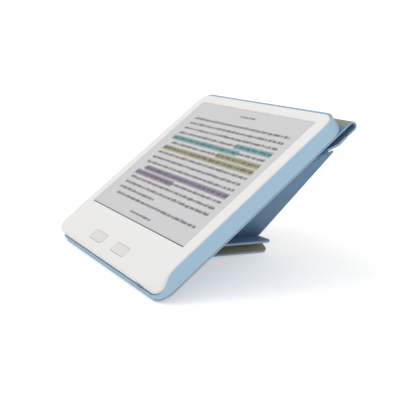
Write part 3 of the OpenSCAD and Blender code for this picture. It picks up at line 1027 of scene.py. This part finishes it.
@dataclass
class Spine:
    """The cover's spine: one sheet in a hairpin behind the tray's far edge, hinged at both ends."""

    reader: Place
    gap: float = 0.8

    def build(self) -> None:
        """Builds the hairpin and the two soft hinges at its ends."""
        lower = self.reader.local(joint("spine_fold")["pos_m"])
        bend = self.reader.local(joint("cover_swing")["pos_m"])
        upper = self.reader.local(joint("flap_fold")["pos_m"])
        radius = lower.z - bend.z
        low, high = self.reader.box("spine_lower", "spine_upper")
        width, thickness = high.x - low.x, 2 * (upper.z - low.z)
        ahead, outside = Vector((0, 1, 0)), Vector((0, 0, 1))

        start = Vector((0, lower.y + self.gap, lower.z))
        sheet = BentStrip(width, thickness, start, ahead, outside)
        sheet.straight(bend.y - radius - start.y).bend(-math.pi, radius, 16)
        sheet.straight(bend.y - radius - upper.y - self.gap)
        hairpin = sheet.piece("spine_hairpin", self.reader)
        self.blend(hairpin, "lower_spine", "upper_spine", (0, bend.y - radius, lower.z),
                   (0, bend.y - radius, upper.z), "spine_lower", "spine_upper")

        start = Vector((0, lower.y - self.gap - 0.1, lower.z))
        hinge = BentStrip(width, thickness * 0.7, start, ahead, outside).straight(2 * self.gap + 0.2, 6)
        strap = hinge.piece("spine_hinge_tray", self.reader, 0.1)
        self.blend(strap, "tray", "lower_spine", start, start + ahead * 2 * self.gap)

        start = Vector((0, upper.y + self.gap + 0.1, upper.z))
        hinge = BentStrip(width, thickness * 0.7, start, -ahead, -outside).straight(2 * self.gap + 0.2, 6)
        strap = hinge.piece("spine_hinge_flap", self.reader, 0.1)
        self.blend(strap, "upper_spine", "triangle", start, start - ahead * 2 * self.gap)

    def blend(self, piece: bpy.types.Object, one: str, other: str, start: Sequence[float],
              end: Sequence[float], *nodes: str) -> None:
        """Passes a piece, its two bodies and two points of the reader's frame on to soft_join."""
        soft_join(piece, one, other, self.reader.world(start), self.reader.world(end), *nodes)


def soft_join(piece: bpy.types.Object, one: str, other: str, start: Vector, end: Vector, *nodes: str) -> None:
    """Bakes a piece's place into its mesh, logs the two bodies that it lies between, and lets it stand for
    CAD nodes.

    Args:
        piece: the finished piece.
        one: the body on the one side, named in the log.
        other: the body on the other side, named in the log.
        start: not used.
        end: not used.
        nodes: the CAD nodes that it replaces.
    """
    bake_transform(piece)
    if nodes:
        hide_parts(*nodes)
    log.info("%s bends between %s and %s", piece.name, one, other)


@dataclass
class Crease:
    """The thin skin across a fold, from one panel's edge round to the next."""

    name: str
    joint_name: str
    panel: Panel
    child: Panel
    start: Vector
    end: Vector
    set_back: float
    thickness: float = 0.9
    lap: float = 0.15

    def build(self) -> None:
        """Builds the crease in the first panel's frame."""
        fold = math.radians(joint(self.joint_name)["range_deg"][1])
        line = (self.end - self.start).normalized()
        middle = (self.start + self.end) / 2
        lining = Vector((0, 0, 1))
        towards = line.cross(lining)
        if towards.dot(self.child_side() - middle) < 0:
            towards = -towards
        axis = self.panel.place.matrix.to_3x3().inverted() @ Vector(joint(self.joint_name)["axis"])
        bends_to_lining = axis.normalized().cross(towards).z < 0
        turn = fold if bends_to_lining else -fold
        radius = self.set_back / math.tan(fold / 2)
        length = (self.end - self.start).length
        strip = BentStrip(length, self.thickness, middle - towards * (self.set_back + self.lap), towards,
                          lining)
        strip.straight(self.lap, 1).bend(turn, radius, 8).straight(self.lap, 1)
        start, end = middle - towards * self.set_back, strip.at.copy()
        piece = strip.piece(self.name, self.panel.place, 0.12)
        place = self.panel.place
        soft_join(piece, self.panel.body, self.child.body, place.world(start), place.world(end))

    def child_side(self) -> Vector:
        """Returns the middle of the child panel in the flat pattern."""
        low, high = self.child.place.box(*self.child.nodes)
        return (low + high) / 2


@dataclass
class FoldingCover:
    """The cover behind the reader: a triangle, two wings and two foot panels, joined by creases."""

    reader: Place
    cover: Place
    wing_top_gap: float = 5.0
    apex_gap: float = 4.0
    foot_start: float = 5.0
    edge_inset: float = 0.6

    def panels(self) -> dict[str, Panel]:
        """Returns the panels by the body that each moves with."""
        right, left = self.cover.folded("stand_fold"), self.cover.folded("left_wing_fold")
        places = {"triangle": self.cover, "right_wing": right, "left_wing": left,
                  "right_foot": right.folded("right_foot_fold"), "left_foot": left.folded("left_foot_fold")}
        nodes = {"triangle": "flap_triangle", "right_wing": "wing_right", "left_wing": "wing_left",
                 "right_foot": "foot_right", "left_foot": "foot_left"}
        return {body: Panel(f"{body}_panel", body, places[body], (n, n + "_lining"))
                for body, n in nodes.items()}

    def build_back_skin(self) -> None:
        """Builds the skin on the tray's back, with the hole over the power key."""
        bm = hull_of(self.reader.points("back_skin"))
        bm.normal_update()
        rim = [e for e in bm.edges if e.calc_face_angle(0) > math.radians(60)
               and abs((e.verts[0].co - e.verts[1].co).normalized().z) < 0.5]
        bmesh.ops.bevel(bm, geom=rim, offset=0.25, segments=3, profile=0.5, affect="EDGES", material=-1)
        for face in bm.faces:
            face.material_index = 0 if abs(face.normal.z) > 0.9 else 1
        skin = finished("tray_back_skin", bm, self.reader, [FINISH.skin, FINISH.edge])
        carve(skin, [power_cutter(self.reader)])
        even_shading(skin)
        hand_over(skin, "tray", FINISH.skin, "back_skin")

    def build(self) -> None:
        """Builds the back skin, the panels and the creases between them."""
        self.build_back_skin()
        panels = self.panels()
        for panel in panels.values():
            panel.build()
        corner = self.cover.local(joint("stand_fold")["pos_m"])
        apex = self.cover.local(joint("right_foot_fold")["pos_m"])
        for side, other in (("right", 1), ("left", -1)):
            wing, foot = panels[f"{side}_wing"], panels[f"{side}_foot"]
            mirror = Vector((other, 1, 1))
            top, low = corner * mirror, apex * mirror
            line = (low - top).normalized()
            edge_gap = self.gap_to(wing, top, line)
            name = "stand_fold" if other > 0 else "left_wing_fold"
            Crease(f"{side}_wing_crease", name, panels["triangle"], wing, top + line * self.wing_top_gap,
                   low - line * self.apex_gap, edge_gap).build()
            keel_gap = foot.place.box(*foot.nodes)[0].y - apex.y
            outer = wing.place.box(*wing.nodes)[1 if other > 0 else 0].x
            Crease(f"{side}_foot_crease", f"{side}_foot_fold", wing, foot,
                   low + Vector((other * self.foot_start, 0, 0)),
                   Vector((outer - other * self.edge_inset, low.y, low.z)), keel_gap).build()

    def gap_to(self, panel: Panel, start: Vector, line: Vector) -> float:
        """Returns how far a panel's edge stands back from a fold line in the flat pattern."""
        points = panel.place.points(*panel.nodes)
        return min((p - start - line * (p - start).dot(line)).to_2d().length for p in points)


# ---------------------------------------------------------------- studio


@dataclass
class Studio:
    """The pale floor, the soft light and the camera."""

    position: tuple[float, float, float] = (475.6, -237.9, 148.1)
    aim: tuple[float, float, float] = (-0.8712, 0.4461, -0.2050)
    lens: float = 76.54
    floor_size: float = 12.0
    fill: float = 0.62
    key_power: float = 3.6
    side_power: float = 1.6
    floor_glow: tuple[float, float] = (0.42, 0.8)
    glow_reach: tuple[float, float] = (0.12, 0.5)

    def build_floor(self) -> None:
        """Builds the floor, with a faint even glow that keeps it pale far from the lights."""
        bm = bmesh.new()
        bmesh.ops.create_grid(bm, x_segments=4, y_segments=4, size=self.floor_size / 2)
        mesh = bpy.data.meshes.new("floor")
        bm.to_mesh(mesh)
        bm.free()
        floor = bpy.data.objects.new("floor", mesh)
        floor.location.z = CAD_BOX[0].z - 0.0002
        paint = bpy.data.materials.new("floor_paint")
        paint.use_nodes = True
        shader = paint.node_tree.nodes["Principled BSDF"]
        shader.inputs["Base Color"].default_value = (0.92, 0.92, 0.92, 1)
        shader.inputs["Roughness"].default_value = 0.9
        shader.inputs["Specular IOR Level"].default_value = 0.0
        shader.inputs["Emission Color"].default_value = (1, 1, 1, 1)
        nodes, links = paint.node_tree.nodes, paint.node_tree.links
        where, away, glow = (nodes.new(kind) for kind in
                             ("ShaderNodeTexCoord", "ShaderNodeVectorMath", "ShaderNodeMapRange"))
        away.operation = "LENGTH"
        for socket, value in zip(("From Min", "From Max", "To Min", "To Max"),
                                 (*self.glow_reach, *self.floor_glow)):
            glow.inputs[socket].default_value = value
        links.new(where.outputs["Object"], away.inputs[0])
        links.new(away.outputs["Value"], glow.inputs["Value"])
        seen, share = nodes.new("ShaderNodeLightPath"), nodes.new("ShaderNodeMapRange")
        share.inputs["To Min"].default_value = 0.3
        level = nodes.new("ShaderNodeMath")
        level.operation = "MULTIPLY"
        links.new(seen.outputs["Is Camera Ray"], share.inputs["Value"])
        links.new(glow.outputs[0], level.inputs[0])
        links.new(share.outputs[0], level.inputs[1])
        links.new(level.outputs[0], shader.inputs["Emission Strength"])
        mesh.materials.append(paint)
        bpy.context.scene.collection.objects.link(floor)

    def add_light(self, name: str, place: Sequence[float], size: float, power: float) -> None:
        """Adds a square soft light that faces the object."""
        data = bpy.data.lights.new(name, "AREA")
        data.size, data.energy = size, power
        lamp = bpy.data.objects.new(name, data)
        lamp.location = place
        lamp.rotation_mode = "QUATERNION"
        lamp.rotation_quaternion = (-Vector(place)).to_track_quat("-Z", "Y")
        bpy.context.scene.collection.objects.link(lamp)

    def build(self) -> None:
        """Builds the floor, the world, the lights and the camera."""
        self.build_floor()
        world = bpy.data.worlds.new("studio_white")
        bpy.context.scene.world = world
        world.use_nodes = True
        nodes, links = world.node_tree.nodes, world.node_tree.links
        background = nodes["Background"]
        background.inputs["Color"].default_value = (1, 1, 1, 1)
        seen, level = nodes.new("ShaderNodeLightPath"), nodes.new("ShaderNodeMapRange")
        level.inputs["To Min"].default_value, level.inputs["To Max"].default_value = self.fill, 1.05
        links.new(seen.outputs["Is Camera Ray"], level.inputs["Value"])
        links.new(level.outputs[0], background.inputs["Strength"])
        self.add_light("key_light", (-0.35, -0.5, 1.1), 0.8, self.key_power)
        self.add_light("side_light", (1.0, -0.2, 0.6), 0.7, self.side_power)
        camera = bpy.data.cameras.new("camera")
        camera.sensor_width, camera.lens = 36.0, self.lens
        eye = bpy.data.objects.new("camera", camera)
        eye.location = Vector(self.position) * MM
        eye.rotation_mode = "QUATERNION"
        eye.rotation_quaternion = Vector(self.aim).to_track_quat("-Z", "Y")
        bpy.context.scene.collection.objects.link(eye)
        bpy.context.scene.camera = eye
        bpy.context.scene.view_settings.view_transform = "Standard"


def dress_carried_over() -> None:
    """Gives every CAD node that stays its finish."""
    for node, finish in CARRIED_OVER.items():
        mesh = frame["nodes"][node].data
        mesh.materials.clear()
        mesh.materials.append(finish.material())
        log.info("%s is dressed in %s", node, finish.name)


def main() -> None:
    """Builds every piece in order."""
    logging.basicConfig(level=logging.INFO, format="%(message)s")
    reader = reader_place()
    cover = cover_place(reader)
    shell = ReaderShell(reader)
    shell.build()
    Keys(reader).build()
    ChargingPort(reader).build()
    Page(shell).build()
    Tray(reader).build()
    Spine(reader).build()
    FoldingCover(reader, cover).build()
    dress_carried_over()
    Studio().build()


if __name__ == "__main__":
    main()
